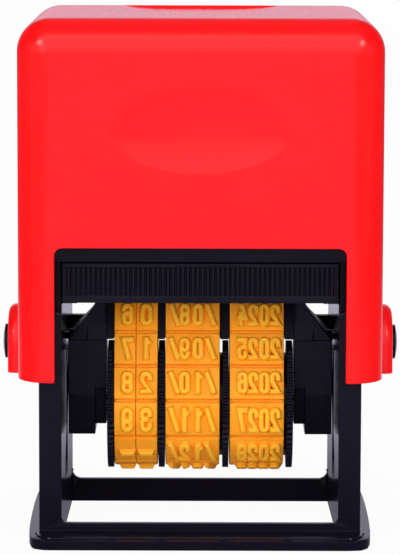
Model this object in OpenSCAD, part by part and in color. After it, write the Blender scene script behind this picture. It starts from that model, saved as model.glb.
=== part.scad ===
// Small self-inking date stamp, drawn at rest: the cover is up and the line
// of type that will print lies against the underside of the ink pad.
// Millimetres. X runs across the front, the front faces -Y, Z is up and the
// origin is on the table under the middle of the base.

/* [Cover] */
// Height of the top of the cover above the table, at rest
cover_top_z = 72.4; // [70:0.1:76]
// Height of the lower edge of the cover's legs, at rest
cover_foot_z = 22.7; // [21.8:0.1:23.6]
// Wall thickness of the cover
cover_wall = 1.8; // [1.4:0.1:1.9]
// Radius of the cover's outer corners and top edges
cover_edge_r = 4.6; // [3:0.1:5]
// Radius of the corners inside the cover
cover_in_r = 2; // [1.4:0.1:2.2]
// How far each side of the cover closes in from front to back
cover_taper = 0.7; // [0:0.05:0.9]
// Width of the cover's front and back openings
opening_w = 39.8; // [38.6:0.1:41]
// Height of the top of those openings above the table, at rest
opening_top_z = 41.3; // [40:0.1:42.4]
// Radius of the openings' upper corners
opening_r = 1.1; // [0.6:0.1:2]
// Width of the oval thumb dish on the front
dish_w = 25.3; // [20:0.1:30]
// Height of the thumb dish
dish_h = 12.2; // [9:0.1:14]
// Height of the middle of the thumb dish above the table
dish_z = 57.5; // [54:0.1:60]
// Depth of the thumb dish
dish_depth = 0.8; // [0.4:0.1:1]
// Width of the shallow recess for an index card in the top
label_w = 22.5; // [18:0.5:30]
// Depth of that recess from front to back
label_d = 25; // [18:0.5:25.5]
// How far that recess is let into the top
label_depth = 0.3; // [0.3:0.05:0.9]
// Radius of the round bosses that carry the pivot pins
boss_r = 5.3; // [4:0.1:5.6]
// How far the bosses stand out from the sides
boss_out = 1.9; // [1.6:0.05:2.6]
// Rounding of the outer edge of the bosses
boss_edge_r = 1.2; // [0.4:0.1:1.4]
// How far the bosses reach below the legs
boss_drop = 0.55; // [0:0.05:1]
// Height of the rim of the caps in the bosses
cap_proud = 0.5; // [0:0.05:0.8]
// Rise of the domes of those caps
cap_dome = 0.3; // [0.1:0.05:0.8]

/* [Base and frame] */
// How far the base flange stands out beside the posts
flange_out = 1.1; // [0.6:0.1:2]
// How far each side of the flange bows outwards
flange_bow = 0.55; // [0:0.05:1]
// Depth of the flange from front to back
flange_d = 39.4; // [36:0.1:42]
// Thickness of the flange
flange_t = 1.4; // [1:0.1:1.8]
// Corner radius of the flange
flange_r = 2.6; // [1:0.1:4]
// Width of the frame over its posts
frame_w = 44.3; // [43.4:0.1:44.6]
// Depth of the frame from front to back
frame_d = 29.4; // [28.6:0.1:29.8]
// Width of the four posts, seen from the front
post_w = 3.1; // [2.8:0.05:3.3]
// Depth of the posts from front to back
post_d = 2.5; // [1.6:0.1:3]
// Height of the front posts
post_top_z = 32.3; // [30:0.1:33]
// Thickness of the side walls at the back
wall_t = 3.6; // [3:0.05:3.8]
// Height of the front sill
sill_h = 2.8; // [2.2:0.1:3.6]
// Height of the back sill
back_sill_h = 3.35; // [2.2:0.05:3.6]
// Thickness of the sills from front to back
sill_t = 1.1; // [0.8:0.1:2.4]
// Thickness of the deck over the ink pad
deck_t = 3; // [2:0.1:3.4]
// Height of the underside of the rear cross bar
bar_z = 24.1; // [22:0.1:25]
// Height of the rear cross bar
bar_h = 3.4; // [2:0.1:4]

/* [Ink pad] */
// Width of the ribbed front of the pad cartridge
pad_w = 37.8; // [36:0.1:38.4]
// Height of the pad cartridge
pad_h = 4.9; // [4:0.1:5.4]
// Spacing of the grip ribs
rib_pitch = 0.68; // [0.5:0.02:1]
// How far the grip ribs stand out
rib_proud = 0.3; // [0.15:0.05:0.5]
// Wall thickness of the cartridge
pad_wall = 1.1; // [0.8:0.1:1.6]
// Thickness of the felt
felt_t = 3; // [2:0.1:3.4]

/* [Type carrier] */
// Height of the pivot above the table, at rest
axle_z = 25.9; // [25.4:0.1:26.2]
// Diameter of the pivot pins
axle_d = 2.6; // [2.2:0.1:2.8]
// Distance from the pivot to the face that prints
print_reach = 8; // [7.8:0.1:8.4]
// Distance from the pivot down to the shaft of the thumbwheels
wheel_drop = 8.95; // [8.6:0.05:9.3]
// Diameter of the shaft of the thumbwheels
shaft_d = 2.4; // [1.8:0.1:2.6]
// Distance of the guide pins from the pivot
cam_r = 3.4; // [3.2:0.1:3.6]
// Diameter of the guide pins
cam_d = 2; // [1.6:0.1:2.2]
// Depth of the carrier's cheeks from front to back
cheek_d = 10; // [8:0.2:10.6]
// Thickness of the cheeks beside the wheels
cheek_t = 1.55; // [1.3:0.05:1.7]
// Thickness of the arms outside the cheeks
arm_t = 3.75; // [3.4:0.05:4]
// How far the narrow top of the carrier lies inside its arms, on each side
top_step = 0.9; // [0.4:0.05:1.3]
// Depth of the shoulder plates from front to back
shoulder_d = 2; // [1.4:0.1:3]
// How far the shoulder plates stand out in front of the arms
shoulder_out = 0.35; // [0.1:0.05:0.5]

/* [Thumbwheels and bands] */
// Diameter of the toothed thumbwheels
wheel_d = 17.96; // [17:0.02:18.2]
// Thickness of a thumbwheel
wheel_t = 0.85; // [0.6:0.05:1]
// Teeth on each thumbwheel for every row of type
teeth_per_row = 5; // [3:1:6]
// Depth of the teeth
tooth_h = 0.32; // [0.15:0.01:0.5]
// Rows of type on each band
rows = 13; // [13:1:14]
// Radius of the rows of type where they go round a wheel
band_r = 8.65; // [8.3:0.05:8.8]
// Thickness of a band under the type
band_t = 1.3; // [1:0.05:1.6]
// Depth of the grooves between the rows
groove_h = 0.6; // [0.3:0.05:0.8]
// Width of the grooves between the rows
groove_w = 0.35; // [0.2:0.05:0.6]
// Height that the raised figures have above the rows
figure_h = 0.6; // [0.4:0.05:0.7]
// How far the row that prints sits off the middle of the nose
row_offset = 0.4; // [0:0.05:0.6]
// Half the width of the flat that presses the type down
nose_half = 2; // [1.4:0.05:2.2]
// Radius of the rows where they turn over the edges of that flat
nose_r = 2; // [1.7:0.05:2.4]
// Width of each of the two day bands
day_w = 2.9; // [2.7:0.05:3]
// Clearance between the discs and the day bands
day_gap = 0.12; // [0.08:0.01:0.16]
// Clearance between the two day bands
days_gap = 0.25; // [0.15:0.01:0.3]
// Clearance beside the month and year bands
long_gap = 0.42; // [0.25:0.01:0.5]

/* [Springs] */
// Outer diameter of the return springs
spring_d = 7.4; // [6.4:0.1:7.8]
// Diameter of the spring wire
wire_d = 0.7; // [0.5:0.05:0.9]
// Number of turns
spring_turns = 9; // [7:1:10]
// Distance of the springs from the middle
spring_x = 13; // [11:0.5:15]
// Width of the leaf comb that holds the thumbwheels
leaf_w = 3; // [2:0.1:3.2]
// Thickness of the leaf comb
leaf_t = 0.22; // [0.15:0.01:0.3]
// Width of the fingers of the leaf comb
finger_w = 2; // [1.4:0.1:2.4]

/* [Clearances] */
// Radial clearance of a pin or shaft in its bore
fit = 0.05; // [0.02:0.01:0.08]
// Clearance round a pin in a slot
slot_gap = 0.15; // [0.1:0.01:0.25]
// Clearance between parts that slide past each other
slide_gap = 0.2; // [0.1:0.05:0.3]
// Clearance between the frame and the sides of the cover
cover_gap = 1.1; // [0.8:0.05:1.6]
// Clearance between the frame and the front and back of the cover
cover_front_gap = 0.5; // [0.4:0.05:1]
// Clearance between the carrier and the narrow end of the side walls
carrier_gap = 0.1; // [0.1:0.05:0.4]
// Clearance between the outer thumbwheels and the cheeks
cheek_gap = 0.2; // [0.1:0.01:0.3]
// Clearance between the leaf comb and the drums
leaf_gap = 0.12; // [0.05:0.01:0.2]

/* [Hidden] */
$fn = 64;
SMALL = 0.01;

red = [1.0, 0.16, 0.20];
black = [0.11, 0.10, 0.14];
amber = [0.96, 0.65, 0.14];
steel = [0.72, 0.72, 0.74];

// Stroke of the cover: the face that prints comes down to the table
travel = axle_z - print_reach;
drop_per_degree = travel / 180;

// Ink pad and the bay it slides in
felt_z = axle_z + print_reach + fit;
case_z = felt_z + 2 * fit;
case_top_z = case_z + pad_h;
deck_z = case_top_z + slide_gap;
deck_top_z = deck_z + deck_t;
post_in = frame_w / 2 - post_w;
wall_in = frame_w / 2 - wall_t;
flange_w = frame_w + 2 * flange_out;
frame_y = frame_d / 2;
window_y = frame_y - sill_t;
wall_y = frame_y - post_d;
front_y = frame_y + slide_gap;
case_w = 2 * (wall_in - slide_gap);

// Cover, which fits round the frame
cover_in_x = frame_w / 2 + cover_gap;
cover_in_y = frame_y + cover_front_gap;
cover_x = cover_in_x + cover_wall;
cover_y = cover_in_y + cover_wall;
ceiling_z = cover_top_z - cover_wall;
boss_x = cover_x + boss_out;

// Pivot pins and their caps
axle_r = axle_d / 2;
cap_r = axle_r + 1.1;
cap_seat = 1.4;
carrier_x = wall_in - carrier_gap;
axle_in_x = carrier_x - 3;
axle_out_x = boss_x - 0.3;

// Carrier: its arms, its cheeks and the room for the wheels and bands
arm_x = carrier_x - arm_t;
cheek_in_x = arm_x - cheek_t;
stack_w = 2 * (cheek_in_x - cheek_gap);
cheek_y = cheek_d / 2;
carrier_top_x = arm_x - top_step;
shoulder_top = print_reach - figure_h;
shoulder_low = 0.95;
hub_r = axle_r + 0.4;
arm_foot = wheel_drop + 3.7;
inner_foot = wheel_drop + 2.3;
shaft_r = shaft_d / 2;
clip_t = 0.5;
clip_wall = 1;
clip_r = shaft_r + clip_wall;
clip_x = carrier_x - clip_wall - 0.4;

// Rows of type round the band: a flat nose, two flanks and the wheel
nose_z = print_reach - figure_h - nose_r;
centres = norm([nose_half, nose_z + wheel_drop]);
lean = asin((band_r - nose_r) / centres) - atan(nose_half / (nose_z + wheel_drop));
flank = sqrt(pow(centres, 2) - pow(band_r - nose_r, 2));
neutral = band_t - 0.5;
nose_turn = (nose_r - neutral) * (90 - lean) * PI / 180;
wheel_turn = (band_r - neutral) * (90 + lean) * PI / 180;
half_loop = nose_half + nose_turn + flank + wheel_turn;
row_pitch = 2 * half_loop / rows;
drum_r = band_r - band_t - 0.1;

// Width of the month band and of the year band, which fill what is left
long_w = (stack_w - 4 * wheel_t - 2 * day_w - days_gap - 4 * day_gap) / 2 - long_gap;

// Places of the wheels and bands along the shaft, from the left
wheel_units_x = -stack_w / 2;
band_units_x = wheel_units_x + wheel_t + day_gap;
band_tens_x = band_units_x + day_w + days_gap;
wheel_tens_x = band_tens_x + day_w + day_gap;
band_month_x = wheel_tens_x + wheel_t + day_gap;
wheel_month_x = band_month_x + long_w + long_gap;
band_year_x = wheel_month_x + wheel_t + day_gap;
wheel_year_x = band_year_x + long_w + long_gap;
guide_foot = 1.1;

// Inner face of the side walls, which close in towards the back
function inner_x(y) = post_in + (wall_in - post_in) * (y + wall_y) / (frame_y + wall_y);

// Points of an arc round c, from angle a to angle b
function arc(c, r, a, b, n = 6) =
    [for (i = [0:n]) let (t = a + (b - a) * i / n) c + r * [cos(t), sin(t)]];

// A closed outline whose corners [x, y, r] are rounded with their own radius
function rounded(p, n = 5) = [
    for (i = [0:len(p) - 1])
        let (
            k = len(p),
            o = [p[i].x, p[i].y],
            u = unit([p[(i + k - 1) % k].x, p[(i + k - 1) % k].y] - o),
            v = unit([p[(i + 1) % k].x, p[(i + 1) % k].y] - o),
            half = acos(max(-1, min(1, u * v))) / 2,
            c = o + unit(u + v) * p[i][2] / sin(half),
            s = o + u * p[i][2] / tan(half) - c,
            e = o + v * p[i][2] / tan(half) - c,
            a = atan2(s.y, s.x),
            turn = atan2(s.x * e.y - s.y * e.x, s * e)
        )
        each (p[i][2] == 0 ? [o] : arc(c, p[i][2], a, a + turn, n))
];
function unit(v) = v / norm(v);
function flip(p) = [for (i = [len(p) - 1:-1:0]) [-p[i].x, p[i].y]];

// Point of the rows' surface at a distance s along the band from the middle
// of the nose, raised by h
function band_point(s, h) = s < 0 ? let (q = band_point(-s, h)) [-q.x, q.y]
    : s < nose_half ? [s, nose_z + nose_r + h]
    : s < nose_half + nose_turn ?
        let (a = 90 - (s - nose_half) / nose_turn * (90 - lean))
        [nose_half, nose_z] + (nose_r + h) * [cos(a), sin(a)]
    : s < nose_half + nose_turn + flank ?
        let (d = s - nose_half - nose_turn)
        [nose_half, nose_z] + (nose_r + h) * [cos(lean), sin(lean)]
            + d * [sin(lean), -cos(lean)]
    : let (a = lean - (s - nose_half - nose_turn - flank) / wheel_turn * (90 + lean))
        [0, -wheel_drop] + (band_r + h) * [cos(a), sin(a)];

// The smooth loop at a height h over the rows' surface
function loop(h) = let (
        side = concat(
            arc([nose_half, nose_z], nose_r + h, 90, lean, 6),
            arc([0, -wheel_drop], band_r + h, lean, -90, 16))
    ) concat(side, [for (p = flip(side)) if (p.x < -SMALL) p]);

// The loop with a groove between each two rows
function grooved_loop() = [
    for (i = [0:rows - 1])
        let (
            from = wrap((i - 0.5) * row_pitch + row_offset) + groove_w / 2,
            size = row_pitch - groove_w
        )
        each concat(
            [band_point(wrap(from), -groove_h)],
            [for (k = [0:6]) band_point(wrap(from + size * k / 6), 0)],
            [band_point(wrap(from + size), -groove_h)])
];
function wrap(s) = s > half_loop ? s - 2 * half_loop : s;

// Guide pin at a turn t of the carrier, seen from the side
function cam_point(t) =
    [cam_r * cos(t), axle_z - drop_per_degree * t - cam_r * sin(t)];
function cam_normal(t) = let (
        run = [-cam_r * sin(t), -travel / PI - cam_r * cos(t)]
    ) unit([-run.y, run.x]);
function cam_slot(r) = concat(
    [for (t = [0:7.5:180]) cam_point(t) + r * cam_normal(t)],
    arc(cam_point(180), r, 0, -180, 8),
    [for (t = [180:-7.5:0]) cam_point(t) - r * cam_normal(t)],
    arc(cam_point(0), r, 180, 0, 8));

// Stands a side outline (y, z) up and makes it reach from x to x + w
module side_plate(x, w) {
    translate([x, 0, 0]) rotate([90, 0, 90]) linear_extrude(w) children();
}

// Stands a front outline (x, z) up and makes it reach from y to y + d
module front_plate(y, d) {
    translate([0, y + d, 0]) rotate([90, 0, 0]) linear_extrude(d) children();
}

// A rod along X from x to x + w at height z
module rod_x(r, x, w, z) {
    translate([x, 0, z]) rotate([0, 90, 0]) cylinder(r = r, h = w);
}

module both_sides() {
    children();
    mirror([1, 0, 0]) children();
}

// Bowed and rounded outline of the base flange
module flange_outline(inset = 0) {
    x = flange_w / 2 - inset;
    y = flange_d / 2 - inset;
    r = flange_r;
    bow = [for (i = [1:7]) let (t = i / 8 * 180) [x + flange_bow * sin(t), (y - r) * cos(t)]];
    right = concat(arc([x - r, y - r], r, 90, 0), bow, arc([x - r, r - y], r, 0, -90));
    polygon(concat(right, flip(right)));
}

// Front posts and sill, with the window between them
module front_posts() {
    x = frame_w / 2;
    front_plate(-frame_y, post_d)
        both_sides() polygon([
            [post_in, 0], [x, 0], [x, post_top_z],
            [post_in + 0.7, post_top_z], [post_in, post_top_z - 0.6]]);
    front_plate(-frame_y, sill_t) sill_outline(post_in, sill_h, 0.7);
}

// Sill of height h, with corners of radius r against the walls at inner
module sill_outline(inner, h, r) {
    x = frame_w / 2;
    half = concat(arc([inner - r, h + r], r, -90, 0), [[x, h + r], [x, 0]]);
    polygon(concat(half, flip(half)));
}

// Back wall: sill, cross bar and the stop behind the ink pad
module back_wall() {
    x = frame_w / 2;
    front_plate(window_y, sill_t) {
        sill_outline(wall_in, back_sill_h, 1.25);
        translate([-x, bar_z]) square([2 * x, bar_h]);
        translate([-x, post_top_z]) square([2 * x, deck_top_z - post_top_z]);
    }
}

// Side wall with the long slot of the pivot and the crossing guide slot
module side_wall() {
    x = frame_w / 2;
    y = frame_y - SMALL;
    front = -wall_y - SMALL;
    slot_r = axle_r + slot_gap;
    difference() {
        linear_extrude(deck_top_z)
            polygon([[inner_x(-wall_y), front], [inner_x(y), y], [x, y], [x, front]]);
        side_plate(wall_in - 1, wall_t + 2) {
            translate([-slot_r, axle_z - travel]) square([2 * slot_r, travel]);
            translate([0, axle_z]) circle(slot_r);
            translate([0, axle_z - travel]) circle(slot_r);
            polygon(cam_slot(cam_d / 2 + slot_gap));
        }
    }
}

// Rail under the edge of the pad cartridge
module pad_rail() {
    rail_h = 0.9;
    rail_w = 1.7;
    translate([wall_in - rail_w, -wall_y, case_z - slide_gap / 2 - rail_h])
        cube([rail_w + wall_t / 2, 2 * wall_y, rail_h]);
}

// Deck over the ink pad, with its header bar and the seats of the springs
module deck() {
    x = frame_w / 2;
    rim = 1.2;
    floor_t = deck_t - 1;
    translate([0, 0, deck_z]) difference() {
        translate([-x, -front_y, 0]) cube([2 * x, frame_y + front_y, deck_t]);
        translate([-x + rim, -front_y + rim, floor_t])
            cube([2 * (x - rim), frame_y + front_y - 2 * rim, deck_t]);
    }
    both_sides() translate([spring_x, 0, deck_z + floor_t - SMALL]) {
        cylinder(r = spring_d / 2 + 0.6, h = 1 + SMALL);
        cylinder(r = spring_d / 2 - wire_d - 0.25, h = 6);
    }
}

module frame() {
    color(black) {
        difference() {
            union() {
                linear_extrude(flange_t) flange_outline();
                linear_extrude(flange_t + 0.25) intersection() {
                    flange_outline(0.8);
                    difference() {
                        square([flange_w, flange_d], center = true);
                        square([2 * flange_w, frame_d], center = true);
                    }
                }
            }
            translate([0, 0, -flange_t]) linear_extrude(4 * flange_t) polygon([
                [inner_x(-window_y), -window_y], [inner_x(window_y), window_y],
                [-inner_x(window_y), window_y], [-inner_x(-window_y), -window_y]]);
        }
        front_posts();
        back_wall();
        both_sides() {
            side_wall();
            pad_rail();
        }
        deck();
    }
}

// Outer or inner skin of the cover: upright corners, a rounded top and sides
// that close in by taper towards the back
module cover_skin(x, y, r, taper, z0, z1) {
    hull() for (sx = [-1, 1], end = [[-1, 0], [1, taper]])
        translate([sx * (x - end[1] - r), end[0] * (y - r), 0]) {
            translate([0, 0, z0]) cylinder(r = r, h = z1 - z0 - r, $fn = 32);
            translate([0, 0, z1 - r]) sphere(r = r, $fn = 32);
        }
}

// Boss on the right side, rounded over the pivot and straight below it
module cover_boss() {
    root = cover_taper + SMALL;
    outline = concat(
        [[0, -root], [boss_r, -root]],
        arc([boss_r - boss_edge_r, boss_out - boss_edge_r], boss_edge_r, 0, 90),
        [[0, boss_out]]);
    translate([cover_x, 0, 0]) intersection() {
        translate([0, 0, axle_z]) {
            rotate([0, 90, 0]) rotate_extrude() polygon(outline);
            mirror([0, 0, 1]) linear_extrude(axle_z - cover_foot_z + boss_drop + SMALL)
                rotate(-90) union() {
                    polygon(outline);
                    mirror([1, 0]) polygon(outline);
                }
        }
        translate([-root, -2 * boss_r, cover_foot_z - boss_drop])
            cube([boss_out + 1, 4 * boss_r, 8 * boss_r]);
    }
}

// Shallow lens that cuts the thumb dish, its rim lies at z = 0
module dish_lens() {
    bowl = [for (i = [0:10]) let (t = 1.1 * i / 10)
        [t * dish_h / 2, dish_depth * (pow(t, 2) - 1)]];
    scale([dish_w / dish_h, 1, 1]) rotate_extrude($fn = 48)
        polygon(concat(bowl, [[0, bowl[10].y]]));
}

module cover() {
    half = opening_w / 2;
    ring_r = spring_d / 2 + slide_gap + 0.2;
    color(red) difference() {
        union() {
            difference() {
                cover_skin(cover_x, cover_y, cover_edge_r, cover_taper, cover_foot_z, cover_top_z);
                cover_skin(cover_in_x, cover_in_y, cover_in_r, 0, 0, ceiling_z);
            }
            both_sides() {
                cover_boss();
                // Spring socket under the ceiling
                translate([spring_x, 0, ceiling_z - 6]) difference() {
                    cylinder(r = ring_r + 1, h = 6 + SMALL);
                    translate([0, 0, -SMALL]) cylinder(r = ring_r, h = 6 + SMALL);
                }
                // Ribs that guide the cover on the frame
                for (y = [-9, 9])
                    translate([frame_w / 2 + slide_gap, y - 0.6, cover_foot_z + 1])
                        cube([cover_in_x - frame_w / 2 - slide_gap + SMALL, 1.2,
                            ceiling_z - cover_foot_z - 1 + SMALL]);
            }
        }
        // Openings through the front and the back
        front_plate(-2 * cover_y, 4 * cover_y) polygon(rounded([
            [-half, 0, 0], [half, 0, 0],
            [half, opening_top_z, opening_r], [-half, opening_top_z, opening_r]]));
        translate([0, -cover_y, dish_z]) rotate([90, 0, 0]) dish_lens();
        // Recess for an index card
        translate([0, 0, cover_top_z - label_depth]) linear_extrude(cover_wall)
            polygon(rounded([for (s = [[1, 1], [-1, 1], [-1, -1], [1, -1]])
                [s.x * label_w / 2, s.y * label_d / 2, 1.2]]));
        // Bores of the pivot pins and seats of their caps
        both_sides() {
            rod_x(axle_r + fit, cover_in_x - 1, boss_out + cover_wall + 2, axle_z);
            rod_x(cap_r + fit, boss_x - cap_seat, cap_seat + 1, axle_z);
        }
    }
}

// Pivot pin, right-hand side
module flip_axle() {
    color(steel) rod_x(axle_r, axle_in_x, axle_out_x - axle_in_x, axle_z);
}

// Domed cap over the end of a pivot pin, right-hand side
module axle_cap() {
    dome_r = (pow(cap_r, 2) + pow(cap_dome, 2)) / (2 * cap_dome);
    half = asin(cap_r / dome_r);
    top = cap_seat + cap_proud + cap_dome;
    hole = axle_r + fit;
    depth = cap_seat + axle_out_x - boss_x;
    color(black) translate([boss_x - cap_seat, 0, axle_z]) rotate([0, 90, 0]) rotate_extrude()
        polygon(concat(
            [[hole, 0], [cap_r, 0]],
            arc([0, top - dome_r], dome_r, 90 - half, 90, 8),
            [[0, depth], [hole, depth]]));
}

// Tray of the ink pad cartridge with its ribbed front, which ends in a skirt
module ink_pad_case() {
    x = case_w / 2;
    front = -front_y;
    plate_t = 1.4;
    back = frame_y - post_d - slide_gap;
    lip = 0.5;
    skirt = 0.5;
    ribs = floor((pad_w - 0.8) / rib_pitch);
    first = -ribs * rib_pitch / 2;
    comb = concat(
        [[pad_w / 2, front + plate_t], [-pad_w / 2, front + plate_t],
         [-pad_w / 2, front + rib_proud]],
        [for (i = [0:ribs - 1]) let (s = first + i * rib_pitch) each [
            [s + 0.12 * rib_pitch, front + rib_proud], [s + 0.3 * rib_pitch, front],
            [s + 0.7 * rib_pitch, front], [s + 0.88 * rib_pitch, front + rib_proud]]],
        [[pad_w / 2, front + rib_proud]]);
    color(black) translate([0, 0, case_z]) difference() {
        union() {
            translate([0, 0, lip]) linear_extrude(pad_h - 2 * lip) polygon(comb);
            translate([-pad_w / 2, front, -skirt]) cube([pad_w, plate_t, skirt + lip + SMALL]);
            translate([-pad_w / 2, front + rib_proud / 2, pad_h - lip - SMALL])
                cube([pad_w, plate_t - rib_proud / 2, lip + SMALL]);
            translate([-x, front + plate_t - SMALL, 0]) cube([2 * x, back - front - plate_t, pad_h]);
        }
        // Bay of the felt, open underneath
        translate([pad_wall - x, front + plate_t + pad_wall, -1])
            cube([2 * (x - pad_wall), back - front - plate_t - 2 * pad_wall, 1 + felt_t]);
        // Shallow grip in the top
        translate([-9, front + plate_t + 3, pad_h - 0.5]) cube([18, 8, 1]);
    }
}

module ink_pad_felt() {
    gap = 0.1;
    x = case_w / 2 - pad_wall - gap;
    front = -front_y + 1.4 + pad_wall + gap;
    back = frame_y - post_d - slide_gap - pad_wall - gap;
    color([0.12, 0.12, 0.16]) translate([0, 0, felt_z]) linear_extrude(felt_t + case_z - felt_z)
        polygon(rounded([[-x, front, 0.8], [x, front, 0.8], [x, back, 0.8], [-x, back, 0.8]]));
}

// Coil spring between the deck and the ceiling of the cover
module return_spring() {
    r = (spring_d - wire_d) / 2;
    z0 = deck_top_z + wire_d / 2;
    length = ceiling_z - deck_top_z - wire_d;
    per_turn = 14;
    sides = 6;
    rings = spring_turns * per_turn;
    // Dead coils at both ends lie closer together
    rise = [for (i = [0:rings]) let (t = i / rings, e = 1 / spring_turns)
        t < e ? t * 0.3 : t > 1 - e ? 1 - (1 - t) * 0.3
        : 0.3 * e + (t - e) * (1 - 0.6 * e) / (1 - 2 * e)];
    points = [for (i = [0:rings], k = [0:sides - 1]) let (
            a = 360 * i / per_turn,
            b = 360 * k / sides,
            d = r + wire_d / 2 * cos(b)
        ) [d * cos(a), d * sin(a), z0 + length * rise[i] + wire_d / 2 * sin(b)]];
    faces = concat(
        [[for (k = [0:sides - 1]) k]],
        [for (i = [0:rings - 1], k = [0:sides - 1]) let (n = (k + 1) % sides)
            [i * sides + k, (i + 1) * sides + k, (i + 1) * sides + n, i * sides + n]],
        [[for (k = [sides - 1:-1:0]) rings * sides + k]]);
    color(steel) translate([spring_x, 0, 0]) polyhedron(points, faces);
}

// Inner cheek outline, seen from the side, round the pivot
module cheek_outline() {
    y = cheek_y;
    polygon(rounded([
        [-y + 0.5, shoulder_top, 0.6], [-y, 2, 1], [-y, -wheel_drop + 3, 2],
        [-3.8, -inner_foot, 0.8], [3.8, -inner_foot, 0.8], [y, -wheel_drop + 3, 2],
        [y, 2, 1], [y - 0.5, shoulder_top, 0.6]]));
}

module arm_outline() {
    y = cheek_y;
    polygon(rounded([
        [-y, shoulder_low, 0], [-y, -wheel_drop + 2, 2], [-4.2, -arm_foot, 0.6],
        [4.2, -arm_foot, 0.6], [y, -wheel_drop + 2, 2], [y, shoulder_low, 0]]));
}

// Sloping shoulder between the arm and the top of the carrier, lowered by drop
module shoulder_outline(drop = 0) {
    polygon([
        [cheek_in_x + cheek_gap, shoulder_low], [carrier_x, shoulder_low],
        [carrier_x, shoulder_low + SMALL], [carrier_top_x, shoulder_top - 0.3 - drop],
        [cheek_in_x + cheek_gap, shoulder_top - 0.3 - drop]]);
}

// One cheek of the type carrier, right-hand side
module carrier_cheek() {
    rib = 1;
    rear_drop = 1.4;
    ledge_w = 2.6;
    ledge_h = 0.3;
    ledge_root = shoulder_low + 2.4;
    front = -cheek_y - shoulder_out;
    ledge_y = front - 0.4;
    color(black) translate([0, 0, axle_z]) difference() {
        union() {
            side_plate(cheek_in_x, arm_x - cheek_in_x) cheek_outline();
            side_plate(arm_x - SMALL, carrier_x - arm_x + SMALL) arm_outline();
            // Shoulder plate at the front and the lower shoulder behind it
            front_plate(front, shoulder_d + shoulder_out) shoulder_outline();
            front_plate(shoulder_d - cheek_y - SMALL, cheek_d - shoulder_d + SMALL)
                shoulder_outline(rear_drop);
            // Ledge under the shoulder, beside the bands
            side_plate(cheek_in_x, ledge_w) polygon([
                [-cheek_y, shoulder_low], [ledge_y, shoulder_low], [ledge_y, shoulder_low + ledge_h],
                [front, ledge_root], [-cheek_y, ledge_root]]);
            // Hub round the pivot pin
            rod_x(hub_r, arm_x, carrier_x - arm_x + carrier_gap, 0);
            // Guide pin that runs in the crossing slot of the frame
            translate([carrier_x - SMALL, cam_r, 0]) rotate([0, 90, 0])
                cylinder(r = cam_d / 2, h = wall_in - carrier_x + wall_t - 0.6);
        }
        // Sockets of the pivot pin and of the shaft
        rod_x(axle_r + fit, axle_in_x, 8, 0);
        rod_x(shaft_r + fit, cheek_in_x - 1, 8, -wheel_drop);
        rod_x(clip_r + 0.4, clip_x, 8, -wheel_drop);
        // Lightening pocket between them, with a rib
        side_plate(carrier_x - 2.2, 4) difference() {
            polygon(rounded([
                [-3.6, -axle_r - 1.3, 0.5], [-3.6, -wheel_drop + clip_r + 1.2, 0.5],
                [3.6, -wheel_drop + clip_r + 1.2, 0.5], [3.6, -axle_r - 1.3, 0.5]]));
            translate([-rib / 2, -wheel_drop]) square([rib, wheel_drop]);
        }
        // Seat of the anvil
        translate([cheek_in_x - 1, -1.6 - fit, 2.2 - fit]) cube([2 + fit, 3.2 + 2 * fit, 2.8 + 2 * fit]);
    }
}

// Nose block that the bands slide over, with the fins between them
module band_anvil() {
    module over_foot(h) {
        intersection() {
            polygon(loop(h));
            translate([-10, guide_foot]) square([20, 20]);
        }
    }
    fins = [
        [-cheek_in_x, wheel_units_x + wheel_t + 0.02],
        [wheel_tens_x, wheel_tens_x + wheel_t],
        [band_month_x + long_w + day_gap, band_year_x - day_gap],
        [wheel_year_x - long_gap + day_gap, cheek_in_x]];
    color(black) translate([0, 0, axle_z]) {
        side_plate(-cheek_in_x, 2 * cheek_in_x) over_foot(-band_t - 0.1);
        for (f = fins) side_plate(f[0], f[1] - f[0]) over_foot(-0.3);
        translate([-cheek_in_x - 1, -1.6, 2.2]) cube([2 * cheek_in_x + 2, 3.2, 2.8]);
    }
}

module wheel_shaft() {
    end = carrier_x - 0.5;
    color(steel) rod_x(shaft_r, -end, 2 * end, axle_z - wheel_drop);
}

// Push-on washers that hold the shaft in the cheeks
module shaft_clips() {
    color(steel) both_sides() difference() {
        rod_x(clip_r, clip_x, clip_t, axle_z - wheel_drop);
        rod_x(shaft_r + fit / 2, clip_x - 1, clip_t + 2, axle_z - wheel_drop);
    }
}

// Leaf comb that presses a finger on each drum, so the bands stay put
module detent_spring() {
    half = cheek_in_x - leaf_w / 2;
    tip = drum_r - wheel_drop + leaf_gap;
    tip_half = 1.4 * leaf_t;
    root = leaf_w / 6;
    middles = [
        band_units_x + day_w / 2, band_tens_x + day_w / 2,
        band_month_x + long_w / 2, band_year_x + long_w / 2];
    color(steel) translate([0, 0, axle_z]) {
        translate([-half, -leaf_w / 2, guide_foot - leaf_t]) cube([2 * half, leaf_w, leaf_t]);
        for (x = middles) side_plate(x - finger_w / 2, finger_w) polygon([
            [leaf_w / 2, guide_foot - leaf_t / 2], [leaf_w / 2, guide_foot - leaf_t],
            [-tip_half, tip], [tip_half, tip],
            [leaf_w / 2 + root, guide_foot - leaf_t], [leaf_w / 2 + root, guide_foot - leaf_t / 2]]);
    }
}

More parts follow.
